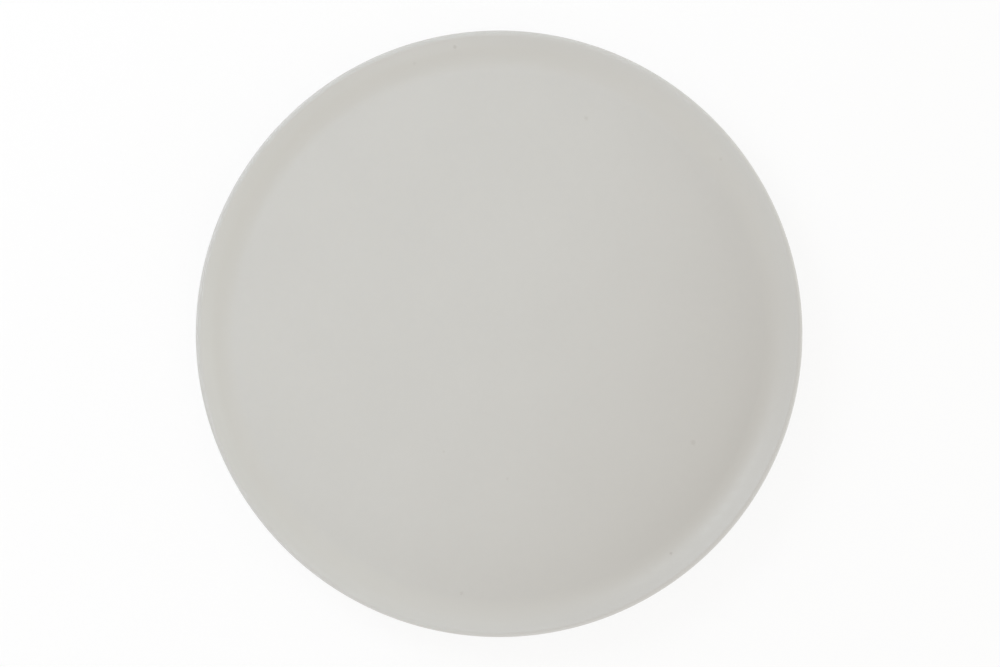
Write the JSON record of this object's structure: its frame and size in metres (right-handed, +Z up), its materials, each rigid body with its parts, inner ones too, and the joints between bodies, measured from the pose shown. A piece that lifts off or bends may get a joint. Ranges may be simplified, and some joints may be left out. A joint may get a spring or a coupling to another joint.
{
  "type": "coupe dinner plate",
  "caption": "Round coupe dinner plate with a flat floor, a short upturned wall, a rounded lip, a satin glaze and a bare foot ring, for serving a main course.",
  "frame": {"origin": "middle of the plate, on the table that the foot ring stands on", "axes": "+Z up through the middle of the plate; the plate is round, so X and Y are free"},
  "size_m": [0.27, 0.27, 0.018],
  "materials": {
    "bare_clay": "unglazed fired stoneware, matt and slightly gritty",
    "face_glaze": "warm off-white satin glaze with a few small iron specks",
    "back_glaze": "warm off-white satin glaze, a little thinner than on the face",
    "base_glaze": "warm off-white satin glaze, bare of any stamp"
  },
  "bodies": {
    "root": {"clay_body": "bare_clay", "face_glaze": "face_glaze", "back_glaze": "back_glaze", "base_glaze": "base_glaze"}
  },
  "joints": []
}
